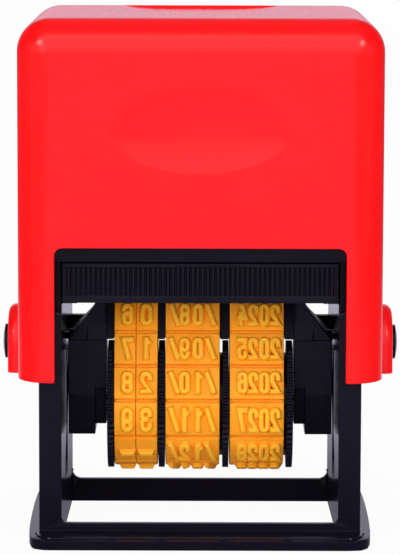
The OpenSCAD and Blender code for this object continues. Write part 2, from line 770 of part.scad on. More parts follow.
// Toothed thumbwheel with the drum that carries its band. The disc starts at
// x and the drum reaches from the disc to end
module thumbwheel(x, end) {
    teeth = rows * teeth_per_row;
    crest = wheel_d / 2;
    step = 360 / teeth;
    from = min(x, end);
    length = abs(end - x);
    notch_x = end > x ? x + wheel_t : end - 1;
    notch_w = end > x ? length - wheel_t + 1 : length + 1;
    color(black) translate([0, 0, axle_z - wheel_drop]) difference() {
        union() {
            side_plate(x, wheel_t) polygon([
                for (i = [0:teeth - 1]) each [
                    for (k = [[-0.3, 0], [0, -tooth_h], [0.2, -tooth_h], [0.5, 0]])
                        (crest + k[1]) * [cos((i + k[0]) * step), sin((i + k[0]) * step)]]]);
            rod_x(drum_r, from, length, 0);
        }
        // Hollow of the drum, round the sleeve on the shaft
        difference() {
            rod_x(drum_r - 1.2, end > x ? x + wheel_t : end - SMALL, length - wheel_t + SMALL, 0);
            rod_x(shaft_r + 1, from - 1, length + 2, 0);
        }
        // Notches for the leaf comb
        side_plate(notch_x, notch_w) for (i = [0:rows - 1])
            rotate(90 + i * 360 / rows) translate([drum_r + 0.15, 0]) circle(0.4, $fn = 16);
        rod_x(shaft_r + fit, from - 1, length + 2, 0);
    }
}

// Endless rubber band with its rows of type
module band(x, w) {
    color(amber) translate([0, 0, axle_z]) side_plate(x, w) mirror([1, 0]) difference() {
        polygon(grooved_loop());
        polygon(loop(-band_t));
    }
}

frame();
cover();
ink_pad_case();
ink_pad_felt();
mirror([1, 0, 0]) return_spring();  // return_spring_left
return_spring();  // return_spring_right
mirror([1, 0, 0]) flip_axle();  // flip_axle_left
flip_axle();  // flip_axle_right
mirror([1, 0, 0]) axle_cap();  // axle_cap_left
axle_cap();  // axle_cap_right
mirror([1, 0, 0]) carrier_cheek();  // carrier_cheek_left
carrier_cheek();  // carrier_cheek_right
band_anvil();
wheel_shaft();
shaft_clips();
detent_spring();
thumbwheel(wheel_units_x, band_units_x + day_w);  // thumbwheel_day_units
thumbwheel(wheel_tens_x, band_tens_x);  // thumbwheel_day_tens
thumbwheel(wheel_month_x, band_month_x);  // thumbwheel_month
thumbwheel(wheel_year_x, band_year_x);  // thumbwheel_year
band(band_units_x, day_w);  // band_day_units
band(band_tens_x, day_w);  // band_day_tens
band(band_month_x, long_w);  // band_month
band(band_year_x, long_w);  // band_year
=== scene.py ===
import math

import bmesh
import bpy
from mathutils import Matrix, Vector

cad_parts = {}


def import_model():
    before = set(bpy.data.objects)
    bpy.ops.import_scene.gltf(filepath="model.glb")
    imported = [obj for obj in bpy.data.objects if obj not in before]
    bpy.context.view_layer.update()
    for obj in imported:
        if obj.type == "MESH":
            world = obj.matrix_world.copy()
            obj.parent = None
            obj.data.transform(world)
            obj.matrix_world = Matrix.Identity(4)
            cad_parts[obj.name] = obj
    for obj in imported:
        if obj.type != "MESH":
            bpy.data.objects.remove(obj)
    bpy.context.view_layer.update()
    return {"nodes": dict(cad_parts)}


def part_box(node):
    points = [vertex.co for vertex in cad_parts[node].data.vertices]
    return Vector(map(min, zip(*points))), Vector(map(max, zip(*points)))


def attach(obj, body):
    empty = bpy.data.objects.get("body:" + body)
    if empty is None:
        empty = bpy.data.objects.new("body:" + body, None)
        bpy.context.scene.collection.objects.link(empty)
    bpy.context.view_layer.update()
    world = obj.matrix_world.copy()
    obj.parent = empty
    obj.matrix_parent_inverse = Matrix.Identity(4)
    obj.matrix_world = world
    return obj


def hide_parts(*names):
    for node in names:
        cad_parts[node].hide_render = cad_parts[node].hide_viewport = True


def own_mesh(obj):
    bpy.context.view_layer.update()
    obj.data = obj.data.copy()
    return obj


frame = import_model()
NODES = frame["nodes"]

# Sizes are in millimetres and are scaled to metres where a mesh is made;
# lamps, textures and what is mirrored are in metres
MM = 0.001

# Camera, at the height and tilt that the photograph shows; its focal length is in pixels
CAMERA_BACK = 500
CAMERA_UP = 107
CAMERA_TILT = 8.2
CAMERA_ROLL = 0.15
CAMERA_SIDE = -0.055
FOCAL_PIXELS = 3589
PHOTO_H = 555
SENSOR = 36

# A cutting tool reaches this far past the face it cuts, or right through the object
PAST = 1
DEEP_PAST = 5
THROUGH = 30

# Widths of the softened edges
COVER_EDGE = 0.22
FRAME_EDGE = 0.18
CHEEK_EDGE = 0.12
FINE_EDGE = 0.05

# Cover, as in the CAD but for the card recess, whose floor slopes
COVER_X = 25.05
COVER_Y = 17
COVER_TOP = 72.4
COVER_FOOT = 22.7
COVER_WALL = 1.8
COVER_R = 4.6
COVER_IN_R = 2
COVER_TAPER = 0.7
OPENING_X = 19.9
OPENING_TOP = 41.3
OPENING_R = 1.1
DISH = (12.65, 0.8, 6.1)
DISH_Z = 57.5
DISH_OVER = 1.02
RECESS = (11.25, 12.3, 0.45)
# The recess starts this far over the top, so that no two faces lie in one plane
RECESS_LIFT = 0.03
BOSS_R = 5.3
BOSS_OUT = 1.9
BOSS_EDGE = 1.2
BOSS_ROOT = COVER_TAPER + 0.01
BOSS_FOOT = COVER_FOOT - 0.55
CAP_SEAT_R = 2.45
CAP_SEAT = 1.4
AXLE_Z = 25.9
AXLE_BORE_R = 1.35
BORE_IN = 4

# Bands: a flat nose, two flanks and the wheel, seen from the side
PRINT_REACH = 8
FIGURE_H = 0.6
WHEEL_DROP = 8.95
NOSE_HALF = 2
NOSE_R = 2
NOSE_UP = PRINT_REACH - FIGURE_H - NOSE_R
BAND_R = 8.65
BAND_T = 1.3
# The rows keep their pitch at this depth, where a bend neither stretches nor shrinks the band
NEUTRAL = BAND_T - 0.5
ROWS = 13
ROW_OFFSET = 0.4
GROOVE_W = 0.35
GROOVE_H = 0.6
BAND_EDGE = 0.2
# Edge of a row at a groove: how far it lies inside the row, and its height
ROW_EDGE = [(-0.03, -GROOVE_H), (0.04, -0.12), (0.14, 0)]
ROW_STEPS = 8
# The day bands bulge towards each other until they nearly touch
DAYS_SWELL = 0.11

# From these follow how far the flanks lean and how long each part of the loop is
NOSE_TO_WHEEL = math.hypot(NOSE_HALF, NOSE_UP + WHEEL_DROP)
LEAN = math.asin((BAND_R - NOSE_R) / NOSE_TO_WHEEL) - math.atan(NOSE_HALF / (NOSE_UP + WHEEL_DROP))
FLANK = math.sqrt(NOSE_TO_WHEEL**2 - (BAND_R - NOSE_R) ** 2)
NOSE_TURN = (NOSE_R - NEUTRAL) * (math.pi / 2 - LEAN)
WHEEL_TURN = (BAND_R - NEUTRAL) * (math.pi / 2 + LEAN)
HALF_LOOP = NOSE_HALF + NOSE_TURN + FLANK + WHEEL_TURN
ROW_PITCH = 2 * HALF_LOOP / ROWS

# Raised figures
STROKE = 0.58
FIGURE_TALL = 3.05
DASH_W = 1.9
CORNER_R = 0.48
BEND_STEPS = 5
# Least cosine at a mitred corner, and what stays open inside a tight bend
MITRE = 0.6
BEND_GAP = 0.02
# The figures are sliced this finely, and off their corners, to bend round the wheel
SLICE = 0.4
SLICE_SHIFT = 0.05
# Section of a stroke: how far it reaches past the stroke's half width, and its height
SECTION = [(0.25, -0.06), (0.11, 0.24), (0.01, 0.46), (-0.03, 0.53), (-0.08, 0.58), (-0.13, 0.6)]
# The tops of the strokes, which get a paler rubber as a painted highlight, start at this height
TOP_FROM = 0.44
# A later stroke of a figure is this much narrower and lower than the one before
STROKE_STEP = (0.03, 0.008)

# Level of the soft light from all round, and the cool tint of what is mirrored
SKY = 0.42
COOL = (0.93, 0.9, 1.1, 1)

# Moulded black, on a screen
BLACK = (17, 14, 28)

# Return springs
SPRING_D = 7.4
WIRE_D = 0.7
SPRING_TURNS = 9
SPRING_X = 13
# Pitch of a spring's end turns
END_PITCH = 0.3
WIRE_STEPS = 28
WIRE_SIDES = 12

# What the lamps aim at, in metres
LAMP_AIM = (0, 0, 0.045)

# Floor
FLOOR_HALF = 6000
FLOOR_T = 20
FLOOR_DROP = 0.02


# Materials

def srgb(red, green, blue):
    """Linear colour of an 8-bit screen colour."""
    def linear(c):
        c /= 255
        return c / 12.92 if c <= 0.04045 else ((c + 0.055) / 1.055) ** 2.4
    return (linear(red), linear(green), linear(blue), 1)


def material(name, roughness=0.4, metallic=0.0, **sockets):
    """A Principled material with the values of its sockets, its node tree and its shader node."""
    made = bpy.data.materials.new(name)
    made.use_nodes = True
    tree = made.node_tree
    shader = tree.nodes["Principled BSDF"]
    shader.inputs["Roughness"].default_value = roughness
    shader.inputs["Metallic"].default_value = metallic
    for key, value in sockets.items():
        shader.inputs[key.replace("_", " ")].default_value = value
    return made, tree, shader


def noise(tree, scale, detail, stretch=(1, 1, 1)):
    """Noise in the object's own space, in cells per metre."""
    place = tree.nodes.new("ShaderNodeTexCoord")
    mapping = tree.nodes.new("ShaderNodeMapping")
    mapping.inputs["Scale"].default_value = stretch
    texture = tree.nodes.new("ShaderNodeTexNoise")
    texture.inputs["Scale"].default_value = scale
    texture.inputs["Detail"].default_value = detail
    tree.links.new(place.outputs["Object"], mapping.inputs["Vector"])
    tree.links.new(mapping.outputs["Vector"], texture.inputs["Vector"])
    return texture


def ramp(tree, source, low, high):
    """Colours or greys from low to high over the range that a noise mostly fills."""
    node = tree.nodes.new("ShaderNodeValToRGB")
    node.color_ramp.elements[0].position = 0.3
    node.color_ramp.elements[1].position = 0.7
    node.color_ramp.elements[0].color = low
    node.color_ramp.elements[1].color = high
    tree.links.new(source, node.inputs["Fac"])
    return node.outputs["Color"]


def grey(value):
    return (value, value, value, 1)


def bump(tree, shader, source, height, strength):
    """Bump of a real height in metres."""
    node = tree.nodes.new("ShaderNodeBump")
    node.inputs["Strength"].default_value = strength
    node.inputs["Distance"].default_value = height
    tree.links.new(source, node.inputs["Height"])
    tree.links.new(node.outputs["Normal"], shader.inputs["Normal"])


def red_plastic():
    """Glossy moulded plastic, faintly uneven in colour and polish."""
    made, tree, shader = material("gloss_red", IOR=1.4)
    cloudy = noise(tree, 60, 2)
    fine = noise(tree, 900, 2)
    tint = ramp(tree, cloudy.outputs["Fac"], srgb(247, 6, 11), srgb(252, 9, 14))
    tree.links.new(tint, shader.inputs["Base Color"])
    rough = ramp(tree, fine.outputs["Fac"], grey(0.17), grey(0.23))
    tree.links.new(rough, shader.inputs["Roughness"])
    bump(tree, shader, noise(tree, 220, 2).outputs["Fac"], 0.00002, 0.3)
    return made


def black_plastic(name, roughness):
    """Moulded black plastic with a faint bluish cast and a fine grain."""
    made, tree, shader = material(name, roughness, Specular_IOR_Level=0.12)
    dark = srgb(*(c * 0.8 for c in BLACK))
    tint = ramp(tree, noise(tree, 150, 3).outputs["Fac"], dark, srgb(*BLACK))
    tree.links.new(tint, shader.inputs["Base Color"])
    fine = noise(tree, 2600, 3)
    rough = ramp(tree, fine.outputs["Fac"], grey(roughness - 0.04), grey(roughness + 0.05))
    tree.links.new(rough, shader.inputs["Roughness"])
    bump(tree, shader, fine.outputs["Fac"], 0.00002, 0.3)
    return made


def rubber(name, low, high):
    """Dull rubber that lets a little light in; its colour drifts from low to high."""
    made, tree, shader = material(
        name, 0.5, IOR=1.15, Subsurface_Weight=0.1, Subsurface_Radius=(1.0, 0.6, 0.3),
        Subsurface_Scale=0.0003,
    )
    cloudy = noise(tree, 300, 4)
    tint = ramp(tree, cloudy.outputs["Fac"], low, high)
    tree.links.new(tint, shader.inputs["Base Color"])
    bump(tree, shader, noise(tree, 3000, 2).outputs["Fac"], 0.00002, 0.4)
    return made


def steel():
    """Bright steel with fine marks along its length."""
    made, tree, shader = material("bright_steel", metallic=1.0, Base_Color=srgb(205, 205, 210))
    drawn = noise(tree, 900, 2, (0.06, 1, 1))
    rough = ramp(tree, drawn.outputs["Fac"], grey(0.16), grey(0.32))
    tree.links.new(rough, shader.inputs["Roughness"])
    return made


def felt():
    """Felt soaked with blue-black ink."""
    made, tree, shader = material("inked_felt", 0.9, Sheen_Weight=0.3)
    fibres = noise(tree, 2500, 4, (1, 1, 0.3))
    tint = ramp(tree, fibres.outputs["Fac"], srgb(14, 14, 34), srgb(34, 34, 62))
    tree.links.new(tint, shader.inputs["Base Color"])
    bump(tree, shader, fibres.outputs["Fac"], 0.0001, 0.8)
    return made


# Meshes

def link(name, mesh):
    made = bpy.data.objects.new(name, mesh)
    bpy.context.scene.collection.objects.link(made)
    return made


def solid(name, verts, faces):
    """A mesh object from points in millimetres, with its faces turned outwards."""
    mesh = bpy.data.meshes.new(name)
    mesh.from_pydata([Vector(v) * MM for v in verts], [], faces)
    shaped = bmesh.new()
    shaped.from_mesh(mesh)
    bmesh.ops.recalc_face_normals(shaped, faces=shaped.faces)
    shaped.to_mesh(mesh)
    shaped.free()
    return link(name, mesh)


def apply_modifiers(piece):
    """Makes the piece's modifiers part of its mesh."""
    graph = bpy.context.evaluated_depsgraph_get()
    mesh = bpy.data.meshes.new_from_object(piece.evaluated_get(graph))
    piece.modifiers.clear()
    piece.data = mesh


def combine(base, tool, operation="DIFFERENCE"):
    """Cuts the tool out of the base, or joins it on, and removes the tool."""
    modifier = base.modifiers.new("combine", "BOOLEAN")
    modifier.operation = operation
    modifier.solver = "MANIFOLD"
    modifier.object = tool
    apply_modifiers(base)
    bpy.data.objects.remove(tool)


def soften(piece, width, angle=30):
    """Rounds every edge sharper than the angle."""
    modifier = piece.modifiers.new("soften", "BEVEL")
    modifier.width = width * MM
    modifier.segments = 2
    modifier.limit_method = "ANGLE"
    modifier.angle_limit = math.radians(angle)
    modifier.use_clamp_overlap = False
    modifier.miter_outer = "MITER_ARC"
    apply_modifiers(piece)


def shade(piece, angle=40):
    """Smooth shading with true flats: normals follow the larger faces."""
    piece.data.shade_smooth()
    piece.data.set_sharp_from_angle(angle=math.radians(angle))
    modifier = piece.modifiers.new("normals", "WEIGHTED_NORMAL")
    modifier.keep_sharp = True
    apply_modifiers(piece)


def finished(piece, body, look, node):
    """Gives a piece its material, if it needs one, and its body, and hides the node it stands for."""
    if look:
        piece.data.materials.clear()
        piece.data.materials.append(look)
    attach(piece, body)
    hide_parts(node)


def cleaned(node, name):
    """A copy of a CAD node's mesh, joined up and with its flat faces whole."""
    source = NODES[node].data
    mesh = bpy.data.meshes.new(name)
    mesh.from_pydata([v.co[:] for v in source.vertices], [], [p.vertices[:] for p in source.polygons])
    shaped = bmesh.new()
    shaped.from_mesh(mesh)
    bmesh.ops.remove_doubles(shaped, verts=shaped.verts, dist=2e-6)
    bmesh.ops.dissolve_limit(
        shaped, angle_limit=math.radians(0.6), verts=shaped.verts, edges=shaped.edges
    )
    bmesh.ops.triangulate(shaped, faces=[f for f in shaped.faces if len(f.verts) > 8])
    shaped.to_mesh(mesh)
    shaped.free()
    return link(name, mesh)


def dress(node, body, look, width):
    """Stands for a CAD node with the same shape and softened edges."""
    piece = cleaned(node, node + "_moulded")
    soften(piece, width)
    shade(piece)
    finished(piece, body, look, node)


def paint(node, look):
    """Gives a CAD node that stays its finish."""
    mesh = NODES[node].data
    mesh.materials.clear()
    mesh.materials.append(look)


def arc(cx, cy, r, start, end, steps):
    """Points of an arc between two angles in degrees."""
    return [
        (cx + r * math.cos(a), cy + r * math.sin(a))
        for a in (math.radians(start + (end - start) * i / steps) for i in range(steps + 1))
    ]


def prism(name, outline, axis, low, high):
    """A flat outline drawn out along an axis: 0 has (y, z), 1 has (x, z) and 2 has (x, y)."""
    def at(point, along):
        return [*point[:axis], along, *point[axis:]]
    count = len(outline)
    verts = [at(p, low) for p in outline] + [at(p, high) for p in outline]
    faces = [tuple(range(count)), tuple(range(2 * count - 1, count - 1, -1))]
    faces += [(i, (i + 1) % count, count + (i + 1) % count, count + i) for i in range(count)]
    return solid(name, verts, faces)


def turned(name, profile, centre, axis, steps):
    """A profile of (radius, along) turned about a level axis through the centre."""
    along = Vector(axis)
    side = Vector((0, 0, 1))
    other = along.cross(side)
    verts = []
    for i in range(steps):
        a = 2 * math.pi * i / steps
        out = math.cos(a) * side + math.sin(a) * other
        verts += [Vector(centre) + r * out + h * along for r, h in profile]
    count = len(profile)
    faces = []
    for i in range(steps):
        here, there = i * count, (i + 1) % steps * count
        faces += [(here + k, here + k + 1, there + k + 1, there + k) for k in range(count - 1)]
    piece = solid(name, verts, faces)
    shaped = bmesh.new()
    shaped.from_mesh(piece.data)
    bmesh.ops.remove_doubles(shaped, verts=shaped.verts, dist=1e-7)
    bmesh.ops.holes_fill(shaped, edges=shaped.edges, sides=0)
    bmesh.ops.recalc_face_normals(shaped, faces=shaped.faces)
    shaped.to_mesh(piece.data)
    shaped.free()
    return piece


def rounded_box(name, x, y, z0, z1, r, steps):
    """A box with round upright corners and round top edges."""
    shaped = bmesh.new()
    bmesh.ops.create_cube(shaped, size=1)
    for v in shaped.verts:
        v.co = Vector((2 * x * v.co.x, 2 * y * v.co.y, z1 if v.co.z > 0 else z0)) * MM
    edges = [e for e in shaped.edges if not all(v.co.z < z0 * MM + 1e-6 for v in e.verts)]
    bmesh.ops.bevel(
        shaped, geom=edges, offset=r * MM, segments=steps, profile=0.5, affect="EDGES"
    )
    mesh = bpy.data.meshes.new(name)
    shaped.to_mesh(mesh)
    shaped.free()
    return link(name, mesh)


# Cover

def dish_tool():
    """Lens that scoops the thumb dish out of the front, a little wider than the dish."""
    half_x, deep, half_z = DISH
    rings, steps = 14, 96
    verts = [(0, -COVER_Y + deep, DISH_Z)]
    for k in range(1, rings + 1):
        share = k / rings * DISH_OVER
        for i in range(steps):
            a = 2 * math.pi * i / steps
            verts.append((
                half_x * share * math.cos(a),
                -COVER_Y + deep * (1 - share**2),
                DISH_Z + half_z * share * math.sin(a),
            ))
    verts += [(x, -COVER_Y - PAST, z) for x, _, z in verts[-steps:]]
    faces = [(0, 1 + i, 1 + (i + 1) % steps) for i in range(steps)]
    for k in range(rings):
        a, b = 1 + k * steps, 1 + (k + 1) * steps
        faces += [(a + i, b + i, b + (i + 1) % steps, a + (i + 1) % steps) for i in range(steps)]
    faces.append(tuple(range(len(verts) - 1, len(verts) - 1 - steps, -1)))
    return solid("dish_tool", verts, faces)


def recess_tool():
    """Wedge for the card recess in the top: shallow in front and at its sides, deep behind."""
    half_x, half_y, deep = RECESS
    front_z = COVER_TOP + RECESS_LIFT
    steps = 24
    verts = []
    for i in range(steps + 1):
        x = half_x * (2 * i / steps - 1)
        floor_z = front_z - deep * (1 - (x / half_x) ** 4)
        verts += [(x, -half_y, front_z), (x, half_y, floor_z)]
        verts += [(x, half_y, front_z + PAST), (x, -half_y, front_z + PAST)]
    faces = [(0, 1, 2, 3), tuple(4 * steps + k for k in (3, 2, 1, 0))]
    for i in range(steps):
        a, b = 4 * i, 4 * i + 4
        faces += [(a + k, a + (k + 1) % 4, b + (k + 1) % 4, b + k) for k in range(4)]
    return solid("recess_tool", verts, faces)


def boss(side):
    """Round boss of a pivot pin, which runs straight down to the foot of the leg."""
    profile = [(BOSS_R, -BOSS_ROOT)]
    profile += arc(BOSS_R - BOSS_EDGE, BOSS_OUT - BOSS_EDGE, BOSS_EDGE, 0, 90, 8)
    drop = BOSS_FOOT - AXLE_Z
    verts = []
    for r, h in profile:
        ring = [(r, drop), *arc(0, 0, r, 0, 180, 36), (-r, drop)]
        verts += [(side * (COVER_X + h), y, AXLE_Z + z) for y, z in ring]
    count = len(ring)
    starts = range(0, len(verts), count)
    faces = [tuple(range(count)), tuple(range(len(verts) - count, len(verts)))]
    faces.append((*starts, *(k + count - 1 for k in reversed(starts))))
    for a, b in zip(starts, starts[1:]):
        faces += [(a + i, a + i + 1, b + i + 1, b + i) for i in range(count - 1)]
    return solid("boss", verts, faces)


def cover(look):
    """Shell that narrows towards the back, with its openings, bosses, thumb dish and recess."""
    piece = rounded_box("cover_shell", COVER_X, COVER_Y, COVER_FOOT, COVER_TOP, COVER_R, 14)
    flat = (COVER_Y - COVER_R) * MM
    for v in piece.data.vertices:
        back = min(1, max(0, (v.co.y + flat) / (2 * flat)))
        v.co.x *= 1 - COVER_TAPER / COVER_X * back
    inner = rounded_box(
        "inner", COVER_X - COVER_WALL, COVER_Y - COVER_WALL, COVER_FOOT - DEEP_PAST,
        COVER_TOP - COVER_WALL, COVER_IN_R, 8,
    )
    combine(piece, inner)
    opening = [(x, COVER_FOOT - DEEP_PAST) for x in (-OPENING_X, OPENING_X)]
    opening += arc(OPENING_X - OPENING_R, OPENING_TOP - OPENING_R, OPENING_R, 0, 90, 8)
    opening += arc(OPENING_R - OPENING_X, OPENING_TOP - OPENING_R, OPENING_R, 90, 180, 8)
    combine(piece, prism("opening", opening, 1, -THROUGH, THROUGH))
    combine(piece, dish_tool())
    soften(piece, COVER_EDGE, 32)
    for side in (-1, 1):
        combine(piece, boss(side), "UNION")
        seat = BOSS_OUT - CAP_SEAT
        bore = [(0, -BORE_IN), (AXLE_BORE_R, -BORE_IN), (AXLE_BORE_R, seat), (CAP_SEAT_R, seat)]
        bore += [(CAP_SEAT_R, BOSS_OUT + PAST), (0, BOSS_OUT + PAST)]
        combine(piece, turned("bore", bore, (side * COVER_X, 0, AXLE_Z), (side, 0, 0), 48))
    combine(piece, recess_tool())
    shade(piece, 42)
    finished(piece, "cover", look, "cover")


# Bands

def band_point(s, h):
    """(y, z) of a point s along the band and h over its rows; the front is where s > 0."""
    s = (s + HALF_LOOP) % (2 * HALF_LOOP) - HALF_LOOP
    side = -1 if s >= 0 else 1
    s = abs(s)
    corner = NOSE_HALF + NOSE_TURN
    if s < NOSE_HALF:
        y, z = s, NOSE_UP + NOSE_R + h
    elif s < corner:
        a = math.pi / 2 - (s - NOSE_HALF) / NOSE_TURN * (math.pi / 2 - LEAN)
        y, z = NOSE_HALF + (NOSE_R + h) * math.cos(a), NOSE_UP + (NOSE_R + h) * math.sin(a)
    elif s < corner + FLANK:
        d = s - corner
        y = NOSE_HALF + (NOSE_R + h) * math.cos(LEAN) + d * math.sin(LEAN)
        z = NOSE_UP + (NOSE_R + h) * math.sin(LEAN) - d * math.cos(LEAN)
    else:
        a = LEAN - (s - corner - FLANK) / WHEEL_TURN * (math.pi / 2 + LEAN)
        y, z = (BAND_R + h) * math.cos(a), -WHEEL_DROP + (BAND_R + h) * math.sin(a)
    return side * y, AXLE_Z + z


def band_body(x0, x1):
    """Rings of the band's cross-section all the way round, with a groove between each two rows."""
    profile = []
    size = ROW_PITCH - GROOVE_W
    for i in range(ROWS):
        start = (i - 0.5) * ROW_PITCH + ROW_OFFSET + GROOVE_W / 2
        end = start + size
        profile += [(start + inside, h) for inside, h in ROW_EDGE]
        profile += [(start + size * k / ROW_STEPS, 0) for k in range(1, ROW_STEPS)]
        profile += [(end - inside, h) for inside, h in reversed(ROW_EDGE)]
    verts, faces = [], []
    bevel = 0.3 * BAND_EDGE
    for s, h in profile:
        section = [
            (x0, -BAND_T), (x1, -BAND_T),
            (x1, h - BAND_EDGE), (x1 - bevel, h - bevel), (x1 - BAND_EDGE, h),
            (x0 + BAND_EDGE, h), (x0 + bevel, h - bevel), (x0, h - BAND_EDGE),
        ]
        verts += [(x, *band_point(s, up)) for x, up in section]
    count = len(section)
    for i in range(len(profile)):
        a, b = i * count, (i + 1) % len(profile) * count
        faces += [(a + k, a + (k + 1) % count, b + (k + 1) % count, b + k) for k in range(count)]
    return verts, faces


# Centre lines of the figures in a cell one wide and one high: closed or not, then the corners;
# a corner with a third value keeps it as its radius
FIGURES = {
    "0": [(True, [(0, 0), (1, 0), (1, 1), (0, 1)])],
    "1": [(False, [(0.5, 0, 0), (0.5, 1, 0)]), (False, [(0.12, 0.84, 0), (0.48, 0.97, 0)])],
    "2": [(False, [(0, 0.74), (0, 1), (1, 1), (1, 0.58), (0, 0, 0), (1, 0, 0)])],
    "3": [
        (False, [(0, 0.78), (0, 1), (1, 1), (1, 0.54), (0.42, 0.54, 0)]),
        (False, [(0.45, 0.54, 0), (1, 0.54), (1, 0), (0, 0), (0, 0.24)]),
    ],
    "4": [
        (False, [(0.55, 1, 0), (0, 0.3, 0), (1, 0.3, 0)]),
        (False, [(0.72, 0.56, 0), (0.72, 0, 0)]),
    ],
    "5": [(False, [(1, 1, 0), (0.06, 1, 0), (0.06, 0.58, 0), (1, 0.62), (1, 0), (0, 0), (0, 0.24)])],
    "6": [
        (False, [(1, 0.78), (1, 1), (0, 1), (0, 0.3)]),
        (True, [(0, 0), (1, 0), (1, 0.58), (0, 0.58)]),
    ],
    "7": [(False, [(0, 1, 0), (1, 1, 0), (0.36, 0, 0)])],
    "8": [
        (True, [(0, 0), (1, 0), (1, 0.54), (0, 0.54)]),
        (True, [(0, 0.5), (1, 0.5), (1, 1), (0, 1)]),
    ],
    "9": [
        (False, [(0, 0.22), (0, 0), (1, 0), (1, 0.7)]),
        (True, [(0, 0.42), (1, 0.42), (1, 1), (0, 1)]),
    ],
    "/": [(False, [(0, 0, 0), (1, 1, 0)])],
    "-": [(False, [(0, 0.44, 0), (1, 0.44, 0)])],
}


def rounded_path(points, closed, radius):
    """Steps along the path (x, y, room), where room is the radius of a bend, over 0 to the left."""
    path = []
    count = len(points)
    for i, point in enumerate(points):
        here = Vector(point[:2])
        r = point[2] if len(point) > 2 else radius
        if r == 0 or (not closed and i in (0, count - 1)):
            path.append((*here, 0))
            continue
        legs = []
        for k in (i - 1, (i + 1) % count):
            end = not closed and k in (0, count - 1) or points[k][2:] == (0,)
            leg = Vector(points[k][:2]) - here
            r = min(r, (0.98 if end else 0.49) * leg.length)
            legs.append(leg.normalized())
        u, v = legs
        half = math.acos(max(-1, min(1, u.dot(v)))) / 2
        reach = r / math.tan(half)
        centre = here + (u + v).normalized() * r / math.sin(half)
        a, b = here + u * reach - centre, here + v * reach - centre
        turn = math.atan2(a.x * b.y - a.y * b.x, a.dot(b))
        start = math.atan2(a.y, a.x)
        room = math.copysign(r, turn)
        for k in range(BEND_STEPS + 1):
            angle = start + turn * k / BEND_STEPS
            path.append((centre.x + r * math.cos(angle), centre.y + r * math.sin(angle), room))
    return path


def stroke(path, closed, width, lower):
    """A raised stroke with sloping sides along a flat path; a bend narrows its inner side."""
    count = len(path)
    points = [Vector(p[:2]) for p in path]
    verts = []
    for i, p in enumerate(points):
        first, last = not closed and i == 0, not closed and i == count - 1
        into = (points[i + 1] - p if first else p - points[i - 1]).normalized()
        out = into if last else (points[(i + 1) % count] - p).normalized()
        along = (into + out).normalized()
        across = Vector((-along.y, along.x)) / max(MITRE, along.dot(out))
        beyond = (last - first) * along
        for side, section in ((-1, SECTION), (1, SECTION[::-1])):
            inner = side * path[i][2]
            for more, h in section:
                half = width / 2 + more
                reach = min(half, inner - BEND_GAP) if inner > 0 else half
                verts.append((*(p + side * reach * across + half * beyond), h - lower))
    ring = 2 * len(SECTION)
    faces = []
    for i in range(count if closed else count - 1):
        a, b = ring * i, ring * ((i + 1) % count)
        faces += [(a + k, a + (k + 1) % ring, b + (k + 1) % ring, b + k) for k in range(ring)]
    if not closed:
        last = ring * (count - 1)
        faces += [tuple(range(ring - 1, -1, -1)), tuple(range(last, last + ring))]
    return verts, faces


def flat_figure(sign, wide):
    """Points (u, v, h) and faces of a figure with its strokes joined, and which faces are tops."""
    tall = FIGURE_TALL - STROKE
    across = (DASH_W if sign == "-" else wide) - STROKE
    whole = None
    for i, (closed, corners) in enumerate(FIGURES[sign]):
        sized = [((c[0] - 0.5) * across, (c[1] - 0.5) * tall, *c[2:]) for c in corners]
        path = rounded_path(sized, closed, CORNER_R)
        verts, faces = stroke(path, closed, STROKE - i * STROKE_STEP[0], i * STROKE_STEP[1])
        part = solid("stroke", [Vector(v) / MM for v in verts], faces)
        if whole:
            combine(whole, part, "UNION")
        else:
            whole = part
    shaped = bmesh.new()
    shaped.from_mesh(whole.data)
    for k in range(-3, 4):
        bmesh.ops.bisect_plane(
            shaped, geom=shaped.verts[:] + shaped.edges[:] + shaped.faces[:],
            plane_co=(0, SLICE * k + SLICE_SHIFT, 0), plane_no=(0, 1, 0),
        )
    bmesh.ops.triangulate(shaped, faces=shaped.faces)
    shaped.verts.index_update()
    points = [v.co.copy() for v in shaped.verts]
    faces = [tuple(v.index for v in f.verts) for f in shaped.faces]
    tops = [min(v.co.z for v in f.verts) > TOP_FROM for f in shaped.faces]
    shaped.free()
    bpy.data.objects.remove(whole)
    return points, faces, tops


# Figures that are already made, by sign and width
CUT = {}


def figures(text, row, centres, wide):
    """The raised figures of a row: mirrored, with their tops towards the nose."""
    verts, faces, tops = [], [], []
    middle = row * ROW_PITCH + ROW_OFFSET
    for sign, centre in zip(text, centres):
        if sign == " ":
            continue
        if (sign, wide) not in CUT:
            CUT[sign, wide] = flat_figure(sign, wide)
        points, sides, paler = CUT[sign, wide]
        faces += [tuple(len(verts) + k for k in side) for side in sides]
        verts += [(centre - p.x, *band_point(middle - p.y, p.z)) for p in points]
        tops += paler
    return verts, faces, tops


def band(node, texts, centres, wide, looks, swell=(0, 0)):
    """One band with its figures; the looks are the rubber's and a paler one, a painted highlight on
    the tops of the figures.
    """
    low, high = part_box(node)
    piece = solid(node + "_type", *band_body(low.x / MM - swell[0], high.x / MM + swell[1]))
    verts, faces, tops = [], [], []
    for row, text in enumerate(texts):
        more, sides, paler = figures(text, row, centres, wide)
        faces += [tuple(len(verts) + k for k in side) for side in sides]
        verts += more
        tops += paler
    raised = solid("figures", verts, faces)
    for look in looks:
        piece.data.materials.append(look)
        raised.data.materials.append(look)
    # The tops of the figures get the paler rubber: a painted highlight standing in for the light they
    # catch
    for face, top in zip(raised.data.polygons, tops):
        face.material_index = int(top)
    combine(piece, raised, "UNION")
    shade(piece, 35)
    finished(piece, "carrier", None, node)


